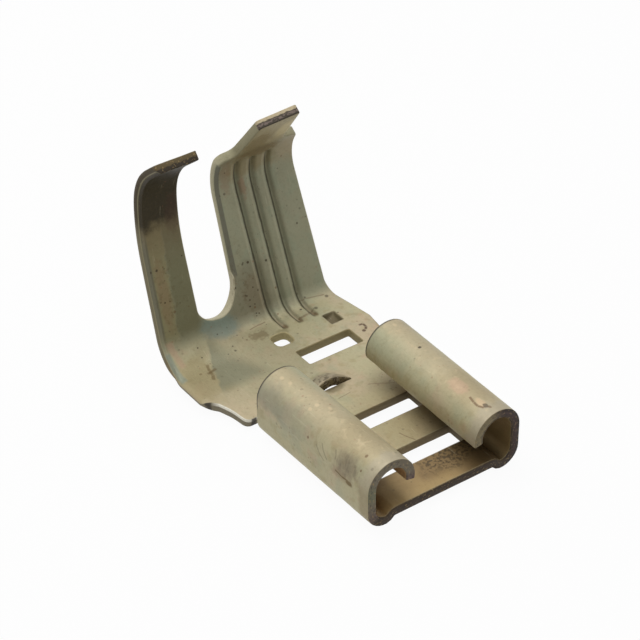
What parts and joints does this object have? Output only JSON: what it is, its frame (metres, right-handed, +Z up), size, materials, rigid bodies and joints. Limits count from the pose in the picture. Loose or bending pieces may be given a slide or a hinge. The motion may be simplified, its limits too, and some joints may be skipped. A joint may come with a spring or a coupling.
{
  "type": "female spade terminal",
  "caption": "Right-angle open-barrel female spade terminal folded from one sheet, with rolled tab receptacle, slotted floor and crimp wings standing open behind it.",
  "frame": {"origin": "middle of the footprint, on the surface the part stands on", "axes": "+X runs from the crimp wings to the mouth for the tab, +Y runs along the wire from the insulation wing to the conductor wing, +Z is up, away from the receptacle floor"},
  "size_m": [0.0166, 0.0096, 0.011],
  "materials": {
    "tinned_brass": "dull tin plating"
  },
  "bodies": {
    "root": {"terminal": "tinned_brass"}
  },
  "joints": []
}
